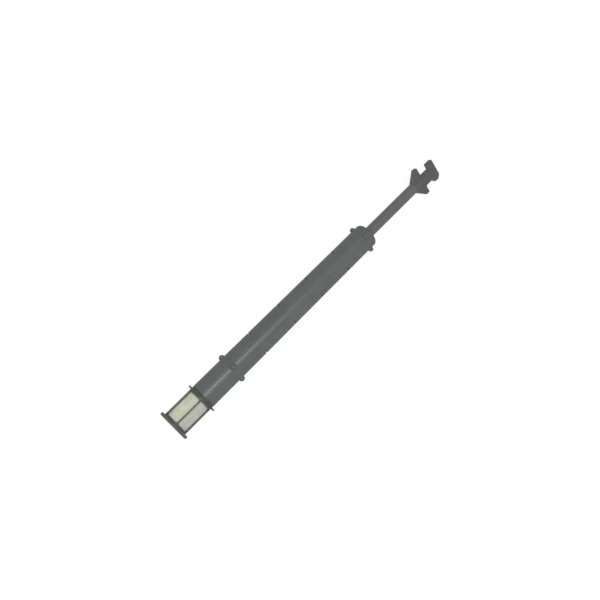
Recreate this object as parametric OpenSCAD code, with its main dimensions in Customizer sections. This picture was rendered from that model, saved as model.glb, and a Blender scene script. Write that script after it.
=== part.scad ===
// Suction fuel sampler: a moulded barrel with a screened foot, a piston on a long rod, and a quarter-turn
// key on the rod's free end. The axis is +X, from the screened foot to the key. The origin is the centre of
// the end cap's outer face. Lengths are in millimetres.

/* [Barrel] */
// Where the barrel's open lower end lies
barrel_start = 37; // [36.5:0.5:38.5]
// Where the barrel's closed upper end lies
barrel_end = 263; // [255:1:270]
// Outer diameter at the lower end
barrel_low_d = 25.9; // [25:0.1:26.4]
// Outer diameter at the upper end, less the mould's draft
barrel_high_d = 24.9; // [24:0.1:25.4]
// Bore that the piston runs in
bore_d = 21.4; // [21:0.1:21.6]
// Thickness of the upper end wall
end_wall = 5; // [4:0.5:6]
// Radius on the upper end's rim
end_round = 2.8; // [1.5:0.1:3]
// Place, diameter and reach from the axis of the round nubs near the lower end
low_nub_x = 73.7; // [66:0.1:80]
low_nub_d = 5.7; // [5:0.1:6]
low_nub_reach = 15.9; // [15.7:0.1:16.4]
// Place, diameter and reach from the axis of the round nubs near the upper end
high_nub_x = 254.5; // [251:0.5:255]
high_nub_d = 5; // [4:0.1:6]
high_nub_reach = 15.5; // [15.2:0.1:16]
// Place of the first level notch on each side, and the spacing of the four
notch_start = 107; // [100:1:120]
notch_pitch = 38; // [30:1:40]

/* [Strainer] */
// Diameter of the end cap
cap_d = 32; // [28:0.5:33]
// Thickness of the end cap
cap_t = 3; // [2:0.1:3.2]
// Outer diameter of the cage
cage_d = 25.6; // [25:0.1:26]
// Where the windows start and end
window_start = 4.6; // [4:0.1:5]
window_end = 32.5; // [30:0.1:33]
// Width of one cage rib, around the cage
rib_w = 1.4; // [1.2:0.1:3]
// Depth of one cage rib, along the radius
rib_depth = 2.2; // [1.8:0.1:2.4]
// Diameter of the cage's thin flange
flange_d = 32.3; // [29:0.1:33]
// Turn of the cage's ribs about the axis, past the nubs
cage_turn = 4.5; // [0:0.5:45]

/* [Plunger] */
// Where the piston's front face lies at rest
piston_start = 134; // [132:1:160]
// Length of the piston
piston_l = 14; // [12:1:16]
// Diameter of the rod
rod_d = 10.8; // [9:0.1:11]

/* [Key] */
// Where the wings leave the rod
wing_start = 334.5; // [330:0.5:336]
// Square trailing edge of the wings, which is the near side of the gap
wing_end = 349.4; // [348:0.1:351]
// Span of the wings
wing_span = 30; // [26:0.1:30.4]
// Near and far faces of the T-bar
tee_start = 361.2; // [360:0.1:363]
tee_end = 370; // [368:0.5:372]
// Reach of the T-bar from the axis on its plain side
tee_reach = 10.4; // [9:0.1:12]
// Reach of the T-bar from the axis on the side with the web and the chamfer
tee_web_reach = 11.4; // [10:0.1:12]
// Thickness of the wings and the T-bar
key_t = 4; // [3:0.2:5]
// Turn of the key about the axis
key_turn = 26; // [0:1:45]

/* [Hidden] */
$fn = 96;
fit = 0.05;            // running clearance on the radius
slip = 0.1;            // clearance between pieces that are pushed together
grey = [0.39, 0.41, 0.40];
dark_grey = [0.30, 0.32, 0.31];
off_white = [0.80, 0.82, 0.74];
black = [0.12, 0.12, 0.12];
steel = [0.75, 0.76, 0.78];

bore_r = bore_d / 2;
barrel_l = barrel_end - barrel_start;

// O-ring: wire radius and the radius of the middle of its wire
o_ring_wire = 0.97;
o_ring_r = bore_r - fit - o_ring_wire;
groove_r = o_ring_r - o_ring_wire;
groove_w = 2 * o_ring_wire + 0.3;

// Rod guide in the end wall
bush_r = 7;
bush_flange_r = 9.4;
bush_flange_t = 2;
wiper_t = 2;

// Vent that lets the air above the piston in and out
vent_x = 247;
vent_r = 1;

// Level notches: an arc this wide and deep, this far each way from the middle of the side
notches = 4;
notch_w = 1.8;
notch_depth = 1;
notch_angle = 38;

// Screen cartridge inside the cage
screen_r = cage_d / 2 - rib_depth;
screen_t = 0.5;
core_t = 1.1;
core_bore_r = screen_r - screen_t - core_t;
cartridge_start = cap_t + 0.3;
cartridge_end = window_end + 1.8;
screen_ring_l = 1.4;

// Cage above the windows
flange_x = 34.8;
flange_t = 0.9;
cage_top = 36;
spigot_end = 46;
spigot_wall = 1.8;

// Foot valve
valve_start = 40;
valve_end = 59;
inlet_r = 2.5;
seat_x = 45;
chamber_r = 5.2;
ball_r = 4;
ball_gap = 0.05;
ball_x = seat_x - inlet_r + (ball_r + ball_gap) * sqrt(2);
retainer_start = 57;
foot_groove_x = 52.5;
retainer_r = 6.6;
spring_r = 2.6;
spring_wire_r = 0.3;
spring_turns = 4;

// Plunger
piston_end = piston_start + piston_l;
groove_inset = 3;
piston_r = bore_r - 0.3;
stem_r = 3;
screw_r = 1.5;
screw_l = 12;
washer_t = 1;
head_t = 2;
socket_start = 318;
tang_r = 2.6;
pin_r = 1;
pin_x = 326;

// Small round pit in the rod, which shows beside the end wall when the plunger is at rest
mark_x = 267.7;
mark_r = 0.7;
mark_depth = 0.4;

// Key
shank_r = 4.8;
tip_round = 1;
tip_l = 5;
web_reach = 7.6;

// A solid of revolution about +X, from an outline of [radius, x] points
module lathe(outline) {
    rotate([0, 90, 0]) rotate_extrude() polygon(outline);
}

// A plain ring or disc between two places on the axis
module ring(x0, x1, outer, inner = 0) {
    lathe([[inner, x0], [outer, x0], [outer, x1], [inner, x1]]);
}

module o_ring(x) {
    translate([x, 0, 0]) rotate([0, 90, 0]) rotate_extrude()
        translate([o_ring_r, 0]) circle(r = o_ring_wire, $fn = 32);
}

// Points of a quarter circle from the outer side round to the end face
function rim(outer, end, round, steps = 8) =
    [for (i = [0 : steps])
        [outer - round * (1 - cos(90 * i / steps)), end - round * (1 - sin(90 * i / steps))]];

// Four round nubs, square round the axis: each a short post with a domed end, rooted in the wall
module nubs(x, d, reach) {
    root = bore_r + 0.5;
    for (turn = [0 : 90 : 270])
        rotate([turn - 90, 0, 0]) translate([x, 0, 0])
            rotate_extrude($fn = 48) polygon(concat([[0, root], [d / 2, root]], rim(d / 2, reach, d / 2)));
}

// ---- Barrel and its rod guide ----

module barrel() {
    foot_edge = 0.4;
    outer = concat([[0, barrel_start], [barrel_low_d / 2 - foot_edge, barrel_start],
                    [barrel_low_d / 2, barrel_start + foot_edge]],
                   rim(barrel_high_d / 2, barrel_end, end_round), [[0, barrel_end]]);
    color(grey) difference() {
        union() {
            lathe(outer);
            nubs(low_nub_x, low_nub_d, low_nub_reach);
            nubs(high_nub_x, high_nub_d, high_nub_reach);
        }
        ring(barrel_start - 1, barrel_end - end_wall, bore_r);
        ring(barrel_end - end_wall - 1, barrel_end + 1, bush_r);
        for (i = [0 : notches - 1], side = [0, 180])
            rotate([side - 90 - notch_angle, 0, 0]) notch(notch_start + i * notch_pitch);
        translate([vent_x, 0, -bore_r - 4]) cylinder(r = vent_r, h = 6);
    }
}

// What one notch takes out of the wall
module notch(x) {
    floor_r = barrel_level(x) - notch_depth;
    rotate([0, 90, 0]) rotate_extrude(angle = 2 * notch_angle)
        translate([floor_r, x - notch_w / 2]) square([2 * notch_depth, notch_w]);
}

// Outer radius of the tapered barrel at a place on the axis
function barrel_level(x) =
    barrel_low_d / 2 + (barrel_high_d - barrel_low_d) / 2 * (x - barrel_start) / barrel_l;

module rod_bush() {
    bush_start = barrel_end - end_wall - bush_flange_t;
    color(dark_grey) lathe([[rod_d / 2 + fit, bush_start], [bush_flange_r, bush_start],
                            [bush_flange_r, barrel_end - end_wall], [bush_r, barrel_end - end_wall],
                            [bush_r, barrel_end - wiper_t], [rod_d / 2 + fit, barrel_end - wiper_t]]);
}

module rod_wiper() {
    lip = 0.3;
    color(black) lathe([[rod_d / 2 + fit, barrel_end - wiper_t], [bush_r, barrel_end - wiper_t],
                        [bush_r, barrel_end], [rod_d / 2 + 0.8, barrel_end],
                        [rod_d / 2 + fit, barrel_end + lip]]);
}

// ---- Strainer at the foot ----

module joint_gasket() {
    inset = 0.2;
    color(black) ring(cage_top, barrel_start, cage_d / 2 - inset, bore_r);
}

// Foot ring, four ribs, and a collar with a thin flange and a spigot that goes into the barrel
module strainer_cage() {
    flange_edge = 0.3;
    color(dark_grey) rotate([cage_turn, 0, 0]) {
        ring(cap_t, window_start, cage_d / 2, screen_r);
        for (turn = [0 : 90 : 270])
            rotate([turn, 0, 0]) cage_rib();
        lathe([[screen_r, window_end], [cage_d / 2, window_end], [cage_d / 2, flange_x],
               [flange_d / 2 - flange_edge, flange_x], [flange_d / 2, flange_x + flange_t / 2],
               [flange_d / 2 - flange_edge, flange_x + flange_t], [cage_d / 2, flange_x + flange_t],
               [cage_d / 2, cage_top], [bore_r - fit, cage_top], [bore_r - fit, spigot_end],
               [bore_r - spigot_wall, spigot_end], [bore_r - spigot_wall, cartridge_end],
               [screen_r, cartridge_end]]);
    }
}

module cage_rib() {
    // How far a rib runs into the rings that it joins
    root = 1;
    intersection() {
        ring(window_start - root, window_end + root, cage_d / 2, screen_r);
        translate([0, -rib_w / 2, 0]) cube([window_end + 2 * root, rib_w, cage_d]);
    }
}

module strainer_end_cap() {
    edge = 1.3;
    plug_end = 8;
    plug_wall = 1.6;
    plug_r = core_bore_r - slip;
    upper_rim = rim(cap_d / 2, cap_t, edge, 6);
    lower_rim = [for (i = [6 : -1 : 0]) [upper_rim[i][0], cap_t - upper_rim[i][1]]];
    color(dark_grey) lathe(concat([[0, 0]], lower_rim, upper_rim,
                                  [[plug_r, cap_t], [plug_r, plug_end], [plug_r - plug_wall, plug_end],
                                   [plug_r - plug_wall, cap_t], [0, cap_t]]));
}

module screen_sleeve() {
    color(off_white) ring(cartridge_start + screen_ring_l, cartridge_end - screen_ring_l,
                          screen_r, screen_r - screen_t);
}

// Moulded rings that hold the two ends of the screen
module screen_end_rings() {
    for (x = [cartridge_start, cartridge_end - screen_ring_l])
        color(off_white) ring(x, x + screen_ring_l, screen_r, core_bore_r + core_t);
}

// Slotted tube that keeps the screen round
module screen_core() {
    slots = 8;
    slot_w = 3.6;
    rows = [[6.5, 17.5], [20.5, 31.5]];
    color(off_white) difference() {
        ring(cartridge_start, cartridge_end, core_bore_r + core_t, core_bore_r);
        for (row = rows, i = [0 : slots - 1])
            rotate([(i + 0.5) * 360 / slots, 0, 0])
                translate([row[0], -slot_w / 2, 0]) cube([row[1] - row[0], slot_w, cage_d]);
    }
}

// ---- Foot valve ----

module foot_valve_body() {
    inner = bore_r - spigot_wall - slip;
    groove_x = foot_groove_x;
    color(dark_grey) lathe([[inlet_r, valve_start], [inner, valve_start], [inner, spigot_end],
                            [bore_r - slip, spigot_end], [bore_r - slip, groove_x - groove_w / 2],
                            [groove_r, groove_x - groove_w / 2], [groove_r, groove_x + groove_w / 2],
                            [bore_r - slip, groove_x + groove_w / 2], [bore_r - slip, valve_end],
                            [retainer_r, valve_end], [retainer_r, retainer_start],
                            [chamber_r, retainer_start], [chamber_r, seat_x + chamber_r - inlet_r],
                            [inlet_r, seat_x]]);
}

module foot_valve_o_ring() {
    color(black) o_ring(foot_groove_x);
}

module valve_ball() {
    color(steel) translate([ball_x, 0, 0]) sphere(r = ball_r);
}

// Ring with a middle boss on three spokes, which the spring leans on
module spring_retainer() {
    boss_r = 3.2;
    rim_w = 1;
    spoke_w = 1.6;
    color(dark_grey) difference() {
        ring(retainer_start, valve_end, retainer_r);
        for (i = [0 : 2])
            intersection() {
                ring(retainer_start - 1, valve_end + 1, retainer_r - rim_w, boss_r);
                rotate([i * 120, 0, 0]) translate([retainer_start - 1, 0, 0]) sector(spoke_w);
            }
    }
}

// A third of a turn less one spoke
module sector(spoke_w) {
    depth = valve_end - retainer_start + 2;
    intersection() {
        translate([0, spoke_w / 2, -retainer_r]) cube([depth, retainer_r, 2 * retainer_r]);
        rotate([60, 0, 0]) translate([0, -retainer_r, spoke_w / 2])
            cube([depth, 2 * retainer_r, retainer_r]);
        rotate([-60, 0, 0]) translate([0, -retainer_r, -retainer_r])
            cube([depth, 3 * retainer_r, 3 * retainer_r]);
    }
}

module valve_spring() {
    sides = 8;
    per_turn = 16;
    x0 = ball_x + sqrt(ball_r * ball_r - spring_r * spring_r) + spring_wire_r + 0.1;
    x1 = retainer_start - spring_wire_r - 0.05;
    steps = spring_turns * per_turn;
    points = [for (i = [0 : steps], j = [0 : sides - 1])
        let (turn = 360 * i / per_turn, side = 360 * j / sides, r = spring_r + spring_wire_r * cos(side))
            [x0 + (x1 - x0) * i / steps + spring_wire_r * sin(side), r * cos(turn), r * sin(turn)]];
    walls = [for (i = [0 : steps - 1], j = [0 : sides - 1])
        let (k = (j + 1) % sides)
            [i * sides + j, i * sides + k, (i + 1) * sides + k, (i + 1) * sides + j]];
    ends = [[for (j = [sides - 1 : -1 : 0]) j], [for (j = [0 : sides - 1]) steps * sides + j]];
    color(steel) polyhedron(points, concat(walls, ends));
}

// ---- Plunger ----

module piston_body() {
    edge = 0.5;
    groove = [[piston_r, -groove_w / 2], [groove_r, -groove_w / 2],
              [groove_r, groove_w / 2], [piston_r, groove_w / 2]];
    outline = concat([[stem_r + fit, piston_start], [piston_r - edge, piston_start],
                      [piston_r, piston_start + edge]],
                     [for (x = [piston_start + groove_inset, piston_end - groove_inset], p = groove)
                         [p[0], x + p[1]]],
                     [[piston_r, piston_end - edge], [piston_r - edge, piston_end],
                      [stem_r + fit, piston_end]]);
    color(dark_grey) lathe(outline);
}

module piston_o_rings() {
    color(black) for (x = [piston_start + groove_inset, piston_end - groove_inset]) o_ring(x);
}

module piston_washer() {
    washer_r = 5;
    color(steel) ring(piston_start - washer_t - fit, piston_start - fit, washer_r, screw_r + slip);
}

// Pan-head screw with a cross recess, up the middle of the rod's stem
module piston_screw() {
    head_r = 2.8;
    head_edge = 0.8;
    recess = 1.1;
    slot = [2.8, 0.7];
    head_start = piston_start - washer_t - head_t - fit;
    shank_start = head_start + head_t;
    color(steel) difference() {
        lathe([[0, head_start], [head_r - head_edge, head_start], [head_r, head_start + head_edge],
               [head_r, shank_start], [screw_r, shank_start],
               [screw_r, shank_start + screw_l], [0, shank_start + screw_l]]);
        for (turn = [0, 90])
            rotate([turn, 0, 0]) translate([head_start - 1, -slot[0] / 2, -slot[1] / 2])
                cube([1 + recess, slot[0], slot[1]]);
    }
}

module plunger_rod() {
    shoulder = piston_end + fit;
    color(grey) difference() {
        lathe([[screw_r, piston_start], [stem_r, piston_start], [stem_r, shoulder],
               [rod_d / 2, shoulder], [rod_d / 2, wing_start], [tang_r + slip / 2, wing_start],
               [tang_r + slip / 2, socket_start], [0, socket_start],
               [0, piston_start + screw_l + 1], [screw_r, piston_start + screw_l + 1]]);
        rotate([key_turn, 0, 0]) pin_hole();
        translate([mark_x, 0, rod_d / 2 - mark_depth]) cylinder(r = mark_r, h = 1, $fn = 32);
    }
}

// The line of the cross pin, right through the rod in the key's own plane
module pin_hole() {
    rotate([90, 0, 0]) translate([pin_x, 0, -rod_d]) cylinder(r = pin_r, h = 2 * rod_d, $fn = 32);
}

module key_pin() {
    color(grey) intersection() {
        rotate([key_turn, 0, 0]) pin_hole();
        ring(pin_x - 2 * pin_r, pin_x + 2 * pin_r, rod_d / 2 - slip);
    }
}

// Wings, T-bar and web in one plate, round a shank that carries on the rod's line
module t_key() {
    taper_end = wing_start + 2;
    color(grey) rotate([key_turn, 0, 0]) {
        translate([0, 0, -key_t / 2]) linear_extrude(key_t) {
            key_wing();
            mirror([0, 1]) key_wing();
            key_tee();
            translate([wing_end - 1, -web_reach]) square([tee_start - wing_end + 2, web_reach]);
        }
        difference() {
            lathe([[0, socket_start + 1], [tang_r, socket_start + 1], [tang_r, wing_start],
                   [rod_d / 2, wing_start], [shank_r, taper_end], [shank_r, tee_start + 1],
                   [0, tee_start + 1]]);
            pin_hole();
        }
    }
}

// One wing: a slanting leading edge, a blunt tip and a square trailing edge
module key_wing() {
    tip = wing_span / 2;
    tip_start = wing_end - tip_l;
    polygon([[wing_start, 0], [wing_start, rod_d / 2], [tip_start - tip_round / 2, tip - tip_round],
             [tip_start + tip_round / 2, tip], [wing_end - tip_round, tip],
             [wing_end, tip - tip_round], [wing_end, 0]]);
    translate([wing_end - tip_round, tip - tip_round]) circle(r = tip_round, $fn = 32);
}

// T-bar with rounded corners, one chamfered corner, and a lip beside the web
module key_tee() {
    corner = 1.2;
    chamfer = 3.6;
    lip = 0.3;
    polygon([[tee_start - lip, -tee_web_reach + corner], [tee_start - lip, -web_reach],
             [tee_start, -web_reach],
             [tee_start, tee_reach - corner], [tee_start + corner, tee_reach],
             [tee_end - corner, tee_reach], [tee_end, tee_reach - corner],
             [tee_end, -tee_web_reach + chamfer], [tee_end - chamfer, -tee_web_reach],
             [tee_start - lip + corner, -tee_web_reach]]);
    for (x = [tee_start + corner, tee_end - corner])
        translate([x, tee_reach - corner]) circle(r = corner, $fn = 32);
    translate([tee_start - lip + corner, -tee_web_reach + corner]) circle(r = corner, $fn = 32);
}

barrel();
rod_bush();
rod_wiper();
joint_gasket();
strainer_cage();
strainer_end_cap();
screen_sleeve();
screen_core();
screen_end_rings();
foot_valve_body();
foot_valve_o_ring();
valve_ball();
valve_spring();
spring_retainer();
piston_body();
piston_o_rings();
piston_washer();
piston_screw();
plunger_rod();
t_key();
key_pin();
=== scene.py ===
import math

import bmesh
import bpy
from mathutils import Matrix, Vector


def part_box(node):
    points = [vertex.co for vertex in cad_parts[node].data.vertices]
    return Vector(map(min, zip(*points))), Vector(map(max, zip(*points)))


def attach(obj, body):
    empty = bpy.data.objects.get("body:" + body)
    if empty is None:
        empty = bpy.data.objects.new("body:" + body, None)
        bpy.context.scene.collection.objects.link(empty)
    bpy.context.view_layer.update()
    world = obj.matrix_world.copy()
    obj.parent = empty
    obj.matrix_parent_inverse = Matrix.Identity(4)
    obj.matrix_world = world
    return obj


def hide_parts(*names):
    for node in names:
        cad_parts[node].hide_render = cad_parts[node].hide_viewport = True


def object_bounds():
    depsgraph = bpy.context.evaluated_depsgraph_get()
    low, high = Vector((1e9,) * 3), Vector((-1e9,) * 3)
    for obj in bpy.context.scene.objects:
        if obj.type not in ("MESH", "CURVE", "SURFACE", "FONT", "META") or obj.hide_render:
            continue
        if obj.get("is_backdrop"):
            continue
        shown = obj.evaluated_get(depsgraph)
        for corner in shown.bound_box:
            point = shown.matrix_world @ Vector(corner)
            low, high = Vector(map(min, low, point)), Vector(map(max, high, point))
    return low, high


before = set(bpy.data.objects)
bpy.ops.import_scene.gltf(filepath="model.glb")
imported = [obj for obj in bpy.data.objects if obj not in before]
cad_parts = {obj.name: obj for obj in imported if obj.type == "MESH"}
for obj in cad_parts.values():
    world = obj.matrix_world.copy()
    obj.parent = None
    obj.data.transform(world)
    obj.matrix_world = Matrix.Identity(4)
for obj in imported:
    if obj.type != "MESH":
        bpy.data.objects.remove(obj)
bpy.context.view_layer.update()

# ---- The table and the lights ----
# A pale light table under a long, narrow soft box, whose reflection draws the soft streak along the barrel's
# lower half, and a weak box at one side.
MM = 0.001
foot, head = (corner.copy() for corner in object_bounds())
table_height = foot.z

bpy.ops.mesh.primitive_plane_add(size=6, location=(head.x / 2, 0, table_height))
floor = bpy.context.object
floor.name = "light_table"
floor.visible_glossy = False
floor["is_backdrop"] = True

world = bpy.data.worlds.new("studio")
bpy.context.scene.world = world
world.use_nodes = True
world.node_tree.nodes["Background"].inputs["Color"].default_value = (1, 1, 1, 1)
world.node_tree.nodes["Background"].inputs["Strength"].default_value = 0.35
bpy.context.scene.view_settings.view_transform = "Standard"


def soft_box(name, place, size_x, size_y, watts, aim):
    light = bpy.data.lights.new(name, "AREA")
    light.shape = "RECTANGLE"
    light.size = size_x
    light.size_y = size_y
    light.energy = watts
    lamp = bpy.data.objects.new(name, light)
    bpy.context.scene.collection.objects.link(lamp)
    lamp.location = place
    lamp.rotation_euler = (Vector(aim) - Vector(place)).to_track_quat("-Z", "Y").to_euler()


soft_box("overhead_box", (-0.10, -0.06, 1.6), 1.0, 0.25, 13.0, (-0.10, 0, 0))
soft_box("side_box", (0.3, -0.9, 0.5), 0.7, 0.5, 0.6, (0.16, 0, 0))

# ---- The camera ----
# It stands over the foot, square to the axis there, and looks towards the middle, so that the key end is
# further away. It is rolled so that the sampler lies from lower left to upper right.
stand = Vector((1.5 * MM, 0.47 * MM, 590 * MM))
target = Vector((165.6 * MM, 0.47 * MM, 0))
axis_slope = math.radians(44.7)

camera_data = bpy.data.cameras.new("camera")
camera_data.lens = 38.4
camera_data.sensor_width = 36
camera = bpy.data.objects.new("camera", camera_data)
bpy.context.scene.collection.objects.link(camera)
bpy.context.scene.camera = camera

look = (target - stand).normalized()
along = (Vector((1, 0, 0)) - look * look.x).normalized()
across = (-look).cross(along)
right = math.cos(axis_slope) * along - math.sin(axis_slope) * across
up = math.sin(axis_slope) * along + math.cos(axis_slope) * across
turn = Matrix((right, up, -look)).transposed()
camera.matrix_world = Matrix.Translation(stand) @ turn.to_4x4()


# ---- Barrel ----
# A long injection-moulded tube with a closed upper end, tapered a little by the mould's draft. Four round
# nubs stand out near each end, level notches run along both sides, and a small vent opens underneath.
class Value:
    """A socket in a material's tree. Arithmetic on it adds Math nodes."""

    def __init__(self, paint, socket):
        self.paint = paint
        self.socket = socket

    def math(self, operation, *others):
        values = dict(enumerate((self, *others)))
        return self.paint.node("ShaderNodeMath", {"operation": operation}, values)

    def __add__(self, other):
        return self.math("ADD", other)

    def __mul__(self, other):
        return self.math("MULTIPLY", other)

    def __sub__(self, other):
        return self.math("SUBTRACT", other)

    def __rsub__(self, other):
        return (self * -1) + other

    __radd__ = __add__
    __rmul__ = __mul__

    def between(self, low, high):
        """0 below low, 1 above high, and smooth in the middle."""
        sockets = {"Value": self, "From Min": low, "From Max": high}
        return self.paint.node("ShaderNodeMapRange", {"interpolation_type": "SMOOTHSTEP"}, sockets)


class Paint:
    """One procedural material on a Principled shader."""

    def __init__(self, name, **fixed):
        self.material = bpy.data.materials.new(name)
        self.material.use_nodes = True
        self.tree = self.material.node_tree
        self.shader = self.tree.nodes["Principled BSDF"]
        for socket, value in fixed.items():
            self.shader.inputs[socket.replace("_", " ")].default_value = value

    def node(self, kind, settings, sockets, output=0):
        made = self.tree.nodes.new(kind)
        for setting, value in settings.items():
            setattr(made, setting, value)
        for socket, value in sockets.items():
            if isinstance(value, Value):
                self.tree.links.new(value.socket, made.inputs[socket])
            else:
                made.inputs[socket].default_value = value
        return Value(self, made.outputs[output])

    def place(self, stretch=(1, 1, 1)):
        """Object coordinates, stretched."""
        coords = self.node("ShaderNodeTexCoord", {}, {}, "Object")
        return self.node("ShaderNodeMapping", {}, {"Vector": coords, "Scale": stretch})

    def noise(self, per_metre, stretch=(1, 1, 1), detail=3.0, rough=0.5):
        sockets = {"Vector": self.place(stretch), "Scale": per_metre, "Detail": detail, "Roughness": rough}
        return self.node("ShaderNodeTexNoise", {}, sockets)

    def mix(self, factor, first, second):
        sockets = {"Factor": factor, 6: first, 7: second}
        return self.node("ShaderNodeMix", {"data_type": "RGBA"}, sockets, 2)

    def feed(self, socket, value):
        self.tree.links.new(value.socket, self.shader.inputs[socket])

    def bump(self, height, depth, strength=1.0):
        raised = self.node("ShaderNodeBump", {}, {"Height": height, "Distance": depth, "Strength": strength})
        self.feed("Normal", raised)


def shade(colour, gain):
    return (colour[0] * gain, colour[1] * gain, colour[2] * gain, 1)


def moulded_plastic(name, colour, gloss=0.42, coat=0.33):
    """Dense satin plastic: slow drifts of tone, flow lines along the mould, fine grain and light scuffs."""
    paint = Paint(name, Specular_IOR_Level=0.3, Coat_Weight=coat, Coat_Roughness=0.25)
    drift = paint.noise(55, detail=4)
    flow = paint.noise(420, stretch=(0.06, 1, 1), detail=2)
    scuff = paint.noise(900, stretch=(0.12, 1, 1), detail=5, rough=0.7).between(0.62, 0.74)
    tone = drift * 0.7 + flow * 0.3
    body = paint.mix(tone.between(0.3, 0.7), shade(colour, 0.93), shade(colour, 1.07))
    paint.feed("Base Color", paint.mix(scuff * 0.35, body, shade(colour, 1.32)))
    paint.feed("Roughness", gloss + 0.10 * drift + 0.12 * scuff)
    grain = paint.noise(2600, detail=3, rough=0.6)
    paint.bump(grain + 0.4 * flow, 0.03 * MM, 0.45)
    return paint.material


barrel_grey = (0.126, 0.140, 0.136)
barrel_paint = moulded_plastic("barrel_plastic", barrel_grey)


def finish(piece, body, paint, node_name):
    """Gives a finished piece its material and its body, and hides the CAD node that it stands for."""
    if paint:
        piece.data.materials.clear()
        piece.data.materials.append(paint)
    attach(piece, body)
    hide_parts(node_name)


def to_object(name, work, smooth_below=35):
    """Makes a bmesh an object, smooth except over edges sharper than the angle."""
    mesh = bpy.data.meshes.new(name)
    limit = math.radians(smooth_below)
    for edge in work.edges:
        edge.smooth = len(edge.link_faces) == 2 and edge.calc_face_angle(0) < limit
    for face in work.faces:
        face.smooth = True
    work.to_mesh(mesh)
    work.free()
    piece = bpy.data.objects.new(name, mesh)
    bpy.context.scene.collection.objects.link(piece)
    return piece


def skin(rings):
    """A quad skin over rings of points. The rings close on themselves, and so does their stack."""
    work = bmesh.new()
    rows = [[work.verts.new(point) for point in ring] for ring in rings]
    for low, high in zip(rows, rows[1:] + rows[:1]):
        for i in range(len(low)):
            j = (i + 1) % len(low)
            corners = [low[i], low[j], high[j], high[i]]
            work.faces.new(corners)
    return work


def close_and_turn_out(work):
    """Merges doubled points at poles and turns every face outwards."""
    bmesh.ops.remove_doubles(work, verts=work.verts, dist=1e-6)
    bmesh.ops.dissolve_degenerate(work, edges=work.edges, dist=1e-7)
    bmesh.ops.recalc_face_normals(work, faces=work.faces)
    return work


low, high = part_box("barrel")
barrel_start, barrel_end = low.x, high.x
low_radius, high_radius = 12.95 * MM, 12.45 * MM
end_round = 2.8 * MM
bore = 10.7 * MM
end_wall = 5 * MM
seat_radius = 7 * MM


def barrel_radius(x):
    share = (x - barrel_start) / (barrel_end - barrel_start)
    return low_radius + (high_radius - low_radius) * share


def nub_height(gap, radius, centre, wall):
    """How far a round nub stands off the wall, at a distance from the nub's own axis."""
    fillet = 0.8 * MM
    height = 0
    if gap < radius:
        height = max(0, centre + math.sqrt(radius**2 - gap**2) - wall)
    if radius - fillet < gap < radius + fillet:
        reach = (radius + fillet - gap) / (2 * fillet)
        height = max(height, fillet * reach**2.2)
    return height


nubs = [
    {"x": 73.7 * MM, "radius": 2.85 * MM, "reach": high.y},
    {"x": 254.5 * MM, "radius": 2.5 * MM, "reach": 15.5 * MM},
]
notches = [107 * MM, 145 * MM, 183 * MM, 221 * MM]
notch_half, notch_depth, notch_angle = 0.9 * MM, 1 * MM, math.radians(38)
vent_x, vent_radius = 247 * MM, 1 * MM


def outside(x, angle):
    """The barrel's outer radius at a place, with its nubs, notches and vent."""
    wall = barrel_radius(x)
    radius = wall
    quarter = (angle + math.pi / 4) % (math.pi / 2) - math.pi / 4
    for nub in nubs:
        gap = math.hypot(x - nub["x"], wall * math.sin(quarter))
        radius += nub_height(gap, nub["radius"], nub["reach"] - nub["radius"], wall)
    on_side = abs(math.sin(angle)) < math.sin(notch_angle)
    if on_side and any(abs(x - notch) < notch_half for notch in notches):
        radius = wall - notch_depth
    below = math.hypot(x - vent_x, wall * math.cos(angle)) < vent_radius
    if below and math.sin(angle) < 0:
        radius = bore + 0.2 * MM
    return radius


def spaced(start, end, step):
    count = max(1, round((end - start) / step))
    return [start + (end - start) * i / count for i in range(count)]


# Rows lie close together over the nubs, notches and vent, and far apart between them
rows = [barrel_start + 0.4 * MM]
features = [(nub["x"], 3.8 * MM, 0.15 * MM) for nub in nubs]
features += [(notch, 1.1 * MM, 0.1 * MM) for notch in notches]
features.append((vent_x, 1.2 * MM, 0.15 * MM))
for centre, half, step in sorted(features):
    start = max(rows[-1], centre - half)
    rows += spaced(rows[-1], start, 4 * MM)[1:] + spaced(start, centre + half, step) + [centre + half]
rows += spaced(rows[-1], barrel_end - end_round, 1 * MM)[1:]

# Columns lie close together over the four lines of nubs, and at the ends of the notches
nub_band = math.radians(17)
notch_end = math.radians(0.4)
columns = []
for quadrant in range(4):
    middle = quadrant * math.pi / 2
    stops = [-nub_band, nub_band]
    for bend in (notch_angle, math.pi / 2 - notch_angle):
        stops += [bend - notch_end, bend + notch_end]
    stops.append(math.pi / 2 - nub_band)
    for start, end in zip(stops, stops[1:]):
        step = math.radians(0.7 if end == nub_band else 4)
        columns += spaced(middle + start, middle + end, step)

outline = [(x, None) for x in rows]
for i in range(9):
    bend = math.radians(90) * i / 8
    x = barrel_end - end_round * (1 - math.sin(bend))
    outline.append((x, high_radius - end_round * (1 - math.cos(bend))))
outline += [
    (barrel_end, seat_radius + 0.3 * MM),
    (barrel_end - 0.3 * MM, seat_radius),
    (barrel_end - end_wall, seat_radius),
    (barrel_end - end_wall, bore - 0.4 * MM),
    (barrel_end - end_wall - 0.4 * MM, bore),
    (barrel_start + 0.3 * MM, bore),
    (barrel_start, bore + 0.3 * MM),
    (barrel_start, low_radius - 0.4 * MM),
    (barrel_start + 0.12 * MM, low_radius - 0.12 * MM),
]
rings = []
for x, radius in outline:
    ring = []
    for angle in columns:
        reach = radius or outside(x, angle)
        ring.append((x, reach * math.cos(angle), reach * math.sin(angle)))
    rings.append(ring)
barrel = to_object("barrel_tube", close_and_turn_out(skin(rings)), 40)
finish(barrel, "barrel_body", barrel_paint, "barrel")


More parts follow.
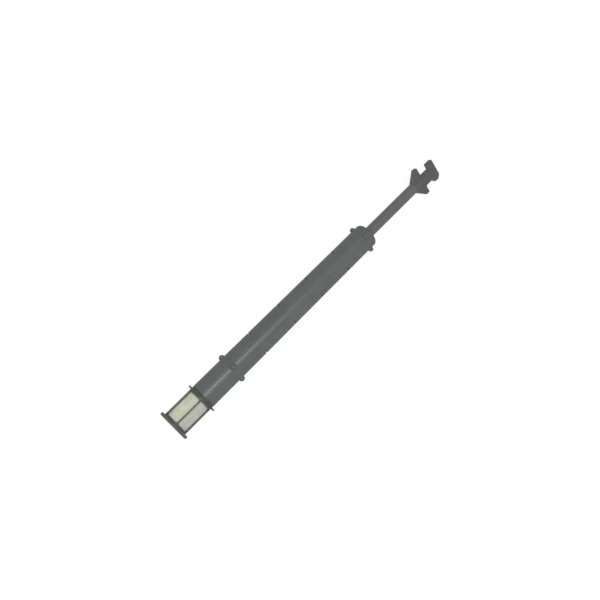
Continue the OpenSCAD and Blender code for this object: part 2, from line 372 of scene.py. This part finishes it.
# ---- Rod bush and wiper ----
# A dark moulded bush is pressed into the end wall from inside and guides the rod. A black rubber wiper ring
# sits on it, flush with the end wall, with a thin lip on the rod.
def rounded(corners):
    """An outline of (x, radius, rounding) corners in millimetres, with each corner made an arc, in metres."""
    steps = 5
    made = []
    count = len(corners)
    for i, (x, radius, rounding) in enumerate(corners):
        here = Vector((x, radius))
        before = Vector(corners[i - 1][:2]) - here
        after = Vector(corners[(i + 1) % count][:2]) - here
        if rounding <= 0 or before.length == 0 or after.length == 0:
            made.append(here * MM)
            continue
        half = before.angle(after) / 2
        cut = min(rounding / math.tan(half), 0.45 * before.length, 0.45 * after.length)
        start = here + before.normalized() * cut
        end = here + after.normalized() * cut
        for step in range(steps + 1):
            share = step / steps
            point = start.lerp(here, share).lerp(here.lerp(end, share), share)
            made.append(point * MM)
    return made


def turned(name, corners, around=96):
    """A piece turned about the axis, from a closed outline of corners."""
    rings = []
    for point in rounded(corners):
        ring = []
        for i in range(around):
            angle = 2 * math.pi * i / around
            ring.append((point[0], point[1] * math.cos(angle), point[1] * math.sin(angle)))
        rings.append(ring)
    return to_object(name, close_and_turn_out(skin(rings)))


cage_grey = (0.098, 0.108, 0.099)
cage_paint = moulded_plastic("cage_plastic", cage_grey, 0.45, 0.1)
low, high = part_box("rod_bush")
start, end, flange = low.x / MM, high.x / MM, high.y / MM
guide, bush_radius = 5.45, 7
flange_top = start + 2
bush = turned(
    "rod_bush_ring",
    [
        (start, guide, 0.4), (start, flange, 0.4), (flange_top, flange, 0.1), (flange_top, bush_radius, 0),
        (end, bush_radius, 0.1), (end, guide, 0.1),
    ],
)
finish(bush, "barrel_body", cage_paint, "rod_bush")


def rubber(name, colour=(0.03, 0.032, 0.031)):
    """Matt black rubber with a slight bloom."""
    paint = Paint(name, Specular_IOR_Level=0.3)
    bloom = paint.noise(350, detail=5)
    paint.feed("Base Color", paint.mix(bloom.between(0.4, 0.75), shade(colour, 1), shade(colour, 1.9)))
    paint.feed("Roughness", 0.62 + 0.2 * bloom)
    paint.bump(paint.noise(5000, detail=2), 0.02 * MM, 0.5)
    return paint.material


rubber_paint = rubber("seal_rubber")
low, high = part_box("rod_wiper")
start, end = low.x / MM, high.x / MM
wiper_radius, lip_root = 6.95, 6.3
shelf = end - 0.3
wiper = turned(
    "rod_wiper_ring",
    [
        (start, guide, 0), (start, wiper_radius, 0.1), (shelf, wiper_radius, 0.15), (shelf, lip_root, 0.2),
        (end, guide + 0.3, 0.15), (end, guide, 0.05),
    ],
)
finish(wiper, "barrel_body", rubber_paint, "rod_wiper")


# ---- Plunger rod ----
# A slim moulded rod of the barrel's own plastic. Its lower end is turned down to a stem that the piston
# sits on, and its upper end is a socket for the key's tang, crossed by the hole for the key's pin. A small
# round pit in it shows beside the end wall when the plunger is at rest.
def apply_modifiers(piece):
    """Turns a piece's evaluated shape into its plain mesh."""
    graph = bpy.context.evaluated_depsgraph_get()
    mesh = bpy.data.meshes.new_from_object(piece.evaluated_get(graph))
    old = piece.data
    piece.modifiers.clear()
    piece.data = mesh
    bpy.data.meshes.remove(old)
    return piece


def cut_out(piece, cutters):
    """Cuts the cutters out of a piece and removes them."""
    for cutter in cutters:
        cut = piece.modifiers.new("cut", "BOOLEAN")
        cut.operation = "DIFFERENCE"
        cut.solver = "EXACT"
        cut.object = cutter
    apply_modifiers(piece)
    for cutter in cutters:
        bpy.data.objects.remove(cutter)


def drill(centre, radius, length, tilt):
    """A cylinder about a line square to the axis, tilted about the axis from upright."""
    work = bmesh.new()
    bmesh.ops.create_cone(work, cap_ends=True, segments=32, radius1=radius, radius2=radius, depth=length)
    bmesh.ops.rotate(work, verts=work.verts, cent=(0, 0, 0), matrix=Matrix.Rotation(tilt, 3, "X"))
    bmesh.ops.translate(work, verts=work.verts, vec=centre)
    return to_object("drill", work)


key_turn = math.radians(26)
rod_grey = (0.150, 0.156, 0.154)
rod_paint = moulded_plastic("rod_plastic", rod_grey)
low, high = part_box("plunger_rod")
start, end, rod_radius = low.x / MM, high.x / MM, high.y / MM
shoulder = start + 14.05
stem_radius, screw_hole, screw_end = 3, 1.5, 147
socket_radius, socket_floor = 2.65, 318
pin_centre = sum(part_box("key_pin"), Vector()) / 2
pin_radius = 1 * MM
mark_x, mark_radius, mark_depth = 267.7, 0.7 * MM, 0.4
# Short rows beside the hole and the pit keep the long plain faces clear of their edges
beside = [(x + side, rod_radius, 0) for x in (mark_x, pin_centre.x / MM) for side in (-2, 2)]
stem = [
    (start, screw_hole, 0.1), (start, stem_radius, 0.3), (shoulder, stem_radius, 0),
    (shoulder, rod_radius, 0.5),
]
socket = [
    (end, rod_radius, 0), (end, socket_radius, 0.1), (socket_floor, socket_radius, 0), (socket_floor, 0, 0),
    (screw_end, 0, 0), (screw_end, screw_hole, 0),
]
rod = turned("plunger_rod_bar", stem + beside + socket, 128)
pin_hole = drill(pin_centre, pin_radius, 3 * high.y, key_turn + math.pi / 2)
mark = drill((mark_x * MM, 0, high.z + (1 - mark_depth) * MM), mark_radius, 2 * MM, 0)
cut_out(rod, [pin_hole, mark])
finish(rod, "rod", rod_paint, "plunger_rod")

# ---- Quarter-turn key ----
# One moulded piece: a round shank, a pair of swept wings for the fingers, a T-bar that locks behind a slotted
# hanger, and a web between them on one side. All its edges are soft.
key_half = 2.0
key_grey = (0.120, 0.126, 0.123)
key_paint = moulded_plastic("key_plastic", key_grey)


def arc(x, y, radius, start, end, steps=6):
    """Points of an arc, with angles in degrees from +x."""
    return [
        (x + radius * math.cos(math.radians(start + (end - start) * i / steps)),
         y + radius * math.sin(math.radians(start + (end - start) * i / steps)))
        for i in range(steps + 1)
    ]


key_outline = (
    [(334.5, 5.4), (343.9, 14.0)]
    + arc(345.0, 13.9, 1.1, 140, 90)
    + arc(348.4, 14.0, 1.0, 90, 0)
    + [(349.4, 4.8), (361.2, 4.8)]
    + arc(362.4, 9.2, 1.2, 180, 90)
    + arc(368.8, 9.2, 1.2, 90, 0)
    + [(370.0, -7.8), (366.4, -11.4)]
    + arc(362.1, -10.2, 1.2, 270, 180)
    + [(360.9, -7.6)]
    + arc(350.6, -8.8, 1.2, 90, 180, 4)
    + arc(348.4, -14.0, 1.0, 0, -90)
    + arc(345.0, -13.9, 1.1, -90, -140)
    + [(343.9, -14.0), (334.5, -5.4)]
)
work = bmesh.new()
flat = [work.verts.new((x * MM, y * MM, -key_half * MM)) for x, y in key_outline]
face = work.faces.new(flat)
grown = bmesh.ops.extrude_face_region(work, geom=[face])
risen = [v for v in grown["geom"] if isinstance(v, bmesh.types.BMVert)]
bmesh.ops.translate(work, verts=risen, vec=(0, 0, 2 * key_half * MM))
bmesh.ops.recalc_face_normals(work, faces=work.faces)
key = to_object("key_blank", work)
tang_start, tang_radius, tang_end = 319, 2.6, 334.6
neck_start, neck_radius, neck_end = 336.5, 4.8, 362.2
shank = turned(
    "key_shank",
    [
        (tang_start, 0, 0), (tang_start, tang_radius, 0.3), (tang_end, tang_radius, 0),
        (tang_end, rod_radius, 0), (neck_start, neck_radius, 1), (neck_end, neck_radius, 0.3),
        (neck_end, 0, 0),
    ],
    64,
)
union = key.modifiers.new("shank", "BOOLEAN")
union.operation = "UNION"
union.solver = "EXACT"
union.object = shank
remesh = key.modifiers.new("voxels", "REMESH")
remesh.mode = "VOXEL"
remesh.voxel_size = 0.24 * MM
soften = key.modifiers.new("soften", "SMOOTH")
soften.factor = 0.5
soften.iterations = 5
apply_modifiers(key)
bpy.data.objects.remove(shank)
key.data.transform(Matrix.Rotation(key_turn, 4, "X"))
for polygon in key.data.polygons:
    polygon.use_smooth = True
key.name = "t_key_body"
finish(key, "rod", key_paint, "t_key")

# ---- Strainer cage ----
# One dark moulding: a foot ring, four ribs, and a collar with a thin flange and a spigot for the barrel.
# The windows between the ribs have small round corners.
low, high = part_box("strainer_cage")
cage_start, cage_end, flange_radius = low.x / MM, high.x / MM, high.y / MM
cage_radius, cage_inside = 12.8, 10.6
flange_start, flange_end, collar_end = 34.8, 35.7, 36
spigot_radius, spigot_inside, spigot_floor = 10.65, 8.9, 34.3
cage = turned(
    "strainer_cage_frame",
    [
        (cage_start, cage_inside, 0.1), (cage_start, cage_radius, 0.15), (flange_start, cage_radius, 0.3),
        (flange_start, flange_radius, 0.3), (flange_end, flange_radius, 0.3), (flange_end, cage_radius, 0.2),
        (collar_end, cage_radius, 0), (collar_end, spigot_radius, 0), (cage_end, spigot_radius, 0.4),
        (cage_end, spigot_inside, 0.1), (spigot_floor, spigot_inside, 0), (spigot_floor, cage_inside, 0),
    ],
    128,
)
cage_turn = math.radians(4.5)
window_start, window_end, rib_half, corner = 4.6 * MM, 32.5 * MM, 0.7 * MM, 1.7 * MM


def window_cutter(turn):
    """A box that leaves a parallel rib on each side, with its four long corners rounded."""
    size = 20 * MM
    work = bmesh.new()
    bmesh.ops.create_cube(work, size=1)
    for vert in work.verts:
        vert.co.x = window_start if vert.co.x < 0 else window_end
        vert.co.y = rib_half if vert.co.y < 0 else size
        vert.co.z = rib_half if vert.co.z < 0 else size
    inner = []
    for edge in work.edges:
        a, b = (v.co for v in edge.verts)
        same_end = abs(a.x - b.x) < MM
        by_rib = abs(a.y + b.y - 2 * rib_half) < MM or abs(a.z + b.z - 2 * rib_half) < MM
        if same_end and by_rib:
            inner.append(edge)
    bmesh.ops.bevel(work, geom=inner, offset=corner, segments=6, profile=0.5, affect="EDGES")
    bmesh.ops.rotate(work, verts=work.verts, cent=(0, 0, 0), matrix=Matrix.Rotation(turn, 3, "X"))
    return to_object("window", work)


cut_out(cage, [window_cutter(math.pi / 2 * i + cage_turn) for i in range(4)])
soft_edges = cage.modifiers.new("soft_edges", "BEVEL")
soft_edges.width = 0.22 * MM
soft_edges.segments = 2
soft_edges.limit_method = "ANGLE"
soft_edges.angle_limit = math.radians(50)
apply_modifiers(cage)
finish(cage, "barrel_body", cage_paint, "strainer_cage")

# ---- Joint gasket ----
# A flat rubber washer round the cage's spigot. It is squeezed between the cage's flange and the barrel's
# lower edge when the two are pushed together.
low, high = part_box("joint_gasket")
start, end, radius = low.x / MM, high.x / MM, high.y / MM
gasket_grey = (0.105, 0.114, 0.109)
gasket_paint = rubber("gasket_rubber", gasket_grey)
inside = 10.7
gasket = turned(
    "joint_gasket_ring",
    [(start, inside, 0.1), (start, radius, 0.3), (end, radius, 0.3), (end, inside, 0.1)],
)
finish(gasket, "barrel_body", gasket_paint, "joint_gasket")

# ---- End cap ----
# A wide round cap closes the foot. Its plug fits inside the screen's core. Its outer face has a shallow
# moulded ring.
low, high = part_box("strainer_end_cap")
plug_end, cap_radius, cap_thick = high.x / MM, high.y / MM, cage_start
cap_grey = (0.112, 0.124, 0.115)
cap_paint = moulded_plastic("cap_plastic", cap_grey, 0.45, 0.1)
rim_round, ring_depth = 1.3, 0.35
plug_outside, plug_inside = 8.9, 7.3
cap = turned(
    "strainer_end_cap_disc",
    [
        (0, 0, 0), (0, 9.5, 0.1), (ring_depth, 9.8, 0.1), (ring_depth, 10.8, 0.1), (0, 11.1, 0.1),
        (0, cap_radius, rim_round), (cap_thick, cap_radius, rim_round), (cap_thick, plug_outside, 0),
        (plug_end, plug_outside, 0.3), (plug_end, plug_inside, 0.3), (cap_thick, plug_inside, 0.2),
        (cap_thick, 0, 0),
    ],
    128,
)
finish(cap, "barrel_body", cap_paint, "strainer_end_cap")

# ---- Screen ----
# A sleeve of plain-woven nylon mesh over a fine filter cloth, both off-white. It is drawn over a slotted
# core and bonded to a moulded ring at each end.
low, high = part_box("screen_sleeve")
screen_start, screen_end = low.x, high.x
screen_radius = 10.36 * MM
wire = 0.11 * MM
pitch = 0.6 * MM


def woven_sleeve_tree():
    """Geometry nodes: a grid rolled into a sleeve, whose two sets of edges weave over and under."""
    tree = bpy.data.node_groups.new("woven_sleeve", "GeometryNodeTree")
    tree.interface.new_socket("Geometry", in_out="OUTPUT", socket_type="NodeSocketGeometry")
    for name, kind in (
        ("Start", "NodeSocketFloat"), ("Length", "NodeSocketFloat"), ("Radius", "NodeSocketFloat"),
        ("Rows", "NodeSocketInt"), ("Columns", "NodeSocketInt"), ("Wire", "NodeSocketFloat"),
        ("Material", "NodeSocketMaterial"),
    ):
        tree.interface.new_socket(name, in_out="INPUT", socket_type=kind)
    given = tree.nodes.new("NodeGroupInput").outputs

    def node(kind, settings, sockets, output=0):
        made = tree.nodes.new(kind)
        for setting, value in settings.items():
            setattr(made, setting, value)
        for socket, value in sockets.items():
            if isinstance(value, bpy.types.NodeSocket):
                tree.links.new(value, made.inputs[socket])
            else:
                made.inputs[socket].default_value = value
        return made.outputs[output]

    def calc(operation, a, b=0.0):
        return node("ShaderNodeMath", {"operation": operation}, {0: a, 1: b})

    columns_up = calc("ADD", given["Columns"], 1)
    grid = node(
        "GeometryNodeMeshGrid", {},
        {"Size X": 1.0, "Size Y": 1.0, "Vertices X": given["Rows"], "Vertices Y": columns_up},
    )
    place = node("ShaderNodeSeparateXYZ", {}, {0: node("GeometryNodeInputPosition", {}, {})})
    across = place.node.outputs["X"]
    round_share = place.node.outputs["Y"]
    row = calc("MULTIPLY", calc("ADD", across, 0.5), calc("SUBTRACT", given["Rows"], 1))
    column = calc("MULTIPLY", calc("ADD", round_share, 0.5), given["Columns"])
    parity = calc("COSINE", calc("MULTIPLY", calc("ADD", row, column), math.pi))
    lift = calc("MULTIPLY", parity, given["Wire"])
    angle = calc("MULTIPLY", round_share, 2 * math.pi)
    sleeves = []
    for side in (1, -1):
        reach = calc("ADD", given["Radius"], calc("MULTIPLY", lift, side))
        x = calc("ADD", calc("MULTIPLY", calc("ADD", across, 0.5), given["Length"]), given["Start"])
        y = calc("MULTIPLY", reach, calc("COSINE", angle))
        z = calc("MULTIPLY", reach, calc("SINE", angle))
        rolled = node(
            "GeometryNodeSetPosition", {},
            {"Geometry": grid, "Position": node("ShaderNodeCombineXYZ", {}, {"X": x, "Y": y, "Z": z})},
        )
        closed = node("GeometryNodeMergeByDistance", {}, {"Geometry": rolled, "Distance": 1e-5})
        ends = node("GeometryNodeInputMeshEdgeVertices", {}, {}, "Position 1").node
        gap = node(
            "ShaderNodeVectorMath", {"operation": "SUBTRACT"},
            {0: ends.outputs["Position 1"], 1: ends.outputs["Position 2"]},
        )
        run = calc("ABSOLUTE", node("ShaderNodeSeparateXYZ", {}, {0: gap}, "X"))
        lengthwise = calc("GREATER_THAN", run, 1e-5)
        chosen = lengthwise if side > 0 else calc("SUBTRACT", 1.0, lengthwise)
        threads = node("GeometryNodeMeshToCurve", {}, {"Mesh": closed, "Selection": chosen})
        round_wire = node("GeometryNodeCurvePrimitiveCircle", {}, {"Resolution": 5, "Radius": given["Wire"]})
        wired = {"Curve": threads, "Profile Curve": round_wire, "Fill Caps": True}
        sleeves.append(node("GeometryNodeCurveToMesh", {}, wired))
    joined = tree.nodes.new("GeometryNodeJoinGeometry")
    for sleeve in sleeves:
        tree.links.new(sleeve, joined.inputs[0])
    real = node("GeometryNodeRealizeInstances", {}, {"Geometry": joined.outputs[0]})
    smooth = node("GeometryNodeSetShadeSmooth", {}, {"Geometry": real})
    painted = node("GeometryNodeSetMaterial", {}, {"Geometry": smooth, "Material": given["Material"]})
    tree.links.new(painted, tree.nodes.new("NodeGroupOutput").inputs[0])
    return tree


def grown_from(name, tree, **inputs):
    """An object whose plain mesh is what a geometry tree makes from the named inputs."""
    piece = bpy.data.objects.new(name, bpy.data.meshes.new(name))
    bpy.context.scene.collection.objects.link(piece)
    grow = piece.modifiers.new("grow", "NODES")
    grow.node_group = tree
    for item in tree.interface.items_tree:
        if item.item_type == "SOCKET" and item.in_out == "INPUT":
            grow[item.identifier] = inputs[item.name]
    return apply_modifiers(piece)


def nylon(name, colour, middle, half):
    """Off-white nylon: cooler at both ends, unevenly fuel-stained, with painted shade along one side."""
    paint = Paint(name, Specular_IOR_Level=0.25, Roughness=0.75)
    stain = paint.noise(260, detail=5, rough=0.65)
    speck = paint.noise(800, detail=3, rough=0.6)
    along = paint.node("ShaderNodeSeparateXYZ", {}, {0: paint.place()}, "X")
    across = paint.node("ShaderNodeSeparateXYZ", {}, {0: paint.place()}, "Y")
    from_middle = (along - middle).math("ABSOLUTE") + 0.008 * (stain - 0.5)
    clean = from_middle.between(0.66 * half, 1.05 * half)
    warm = shade((colour[0] * 0.97, colour[1], colour[2] * 0.86), 0.95)
    cool = shade((0.93, 0.97, 1.0), sum(colour) / 3)
    base = paint.mix(stain.between(0.38, 0.62), shade(colour, 1.04), warm)
    ended = paint.mix(clean * 0.7, base, cool)
    # Painted shade: the half of the sleeve on the -y side is mixed towards a darker, bluer copy of its
    # colour.
    painted_side_shade = shade((colour[0], colour[1] * 0.98, colour[2] * 1.06), 0.72)
    with_painted_side_shade = paint.mix((0 - across).between(-MM, MM) * 0.6, ended, painted_side_shade)
    paint.feed("Base Color", paint.mix(speck.between(0.42, 0.7) * 0.5, with_painted_side_shade, shade(colour, 0.8)))
    paint.bump(speck, 0.05 * MM, 0.3)
    return paint.material


screen_white = (0.86, 0.87, 0.76)
screen_length = screen_end - screen_start
nylon_paint = nylon("screen_nylon", screen_white, (screen_start + screen_end) / 2, screen_length / 2)
around = 2 * round(math.pi * screen_radius / pitch)
weave = grown_from(
    "screen_weave", woven_sleeve_tree(),
    Start=screen_start, Length=screen_length, Radius=screen_radius,
    Rows=round(screen_length / pitch), Columns=around, Wire=wire, Material=nylon_paint,
)
finish(weave, "barrel_body", None, "screen_sleeve")
start, end = screen_start / MM, screen_end / MM
cloth_inside, cloth_radius = 10.0, 10.15
cloth = turned(
    "screen_cloth",
    [(start, cloth_inside, 0), (start, cloth_radius, 0), (end, cloth_radius, 0), (end, cloth_inside, 0)],
)
finish(cloth, "barrel_body", nylon_paint, "screen_sleeve")

# ---- Pieces that stay as they were turned or moulded ----
# The screen's core and end rings, the foot valve, the piston and its fixings lie inside the cage or the
# barrel, and the key's pin crosses the rod. They keep their shapes, and only get their materials here.
core_white = (0.62, 0.63, 0.56)
core_paint = moulded_plastic("core_plastic", core_white, 0.5)


def bright_steel(name):
    """Drawn stainless steel with fine lines along the draw."""
    paint = Paint(name, Metallic=1.0, Specular_IOR_Level=0.5)
    lines = paint.noise(3000, stretch=(0.08, 1, 1), detail=3)
    paint.feed("Base Color", paint.mix(lines, (0.52, 0.53, 0.55, 1), (0.66, 0.67, 0.69, 1)))
    paint.feed("Roughness", 0.22 + 0.16 * lines)
    paint.bump(lines, 0.01 * MM, 0.4)
    return paint.material


steel_paint = bright_steel("bright_steel")
kept = {
    "screen_core": core_paint, "screen_end_rings": core_paint, "foot_valve_body": cage_paint,
    "foot_valve_o_ring": rubber_paint, "valve_ball": steel_paint, "valve_spring": steel_paint,
    "spring_retainer": cage_paint, "piston_body": cage_paint, "piston_o_rings": rubber_paint,
    "piston_washer": steel_paint, "piston_screw": steel_paint, "key_pin": rod_paint,
}
for node_name, paint in kept.items():
    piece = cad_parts[node_name]
    piece.data.materials.clear()
    piece.data.materials.append(paint)

# ---- The table's finish ----
# Pale, even and lit from below, as a light table is. A dull sheet with a glow of its own stands in for the
# lamp under it.
pale = Paint("pale_table", Roughness=0.9, Specular_IOR_Level=0.1)
pale.shader.inputs["Base Color"].default_value = (0.10, 0.10, 0.10, 1)
pale.shader.inputs["Emission Color"].default_value = (1, 1, 1, 1)
pale.shader.inputs["Emission Strength"].default_value = 0.93
floor.data.materials.append(pale.material)
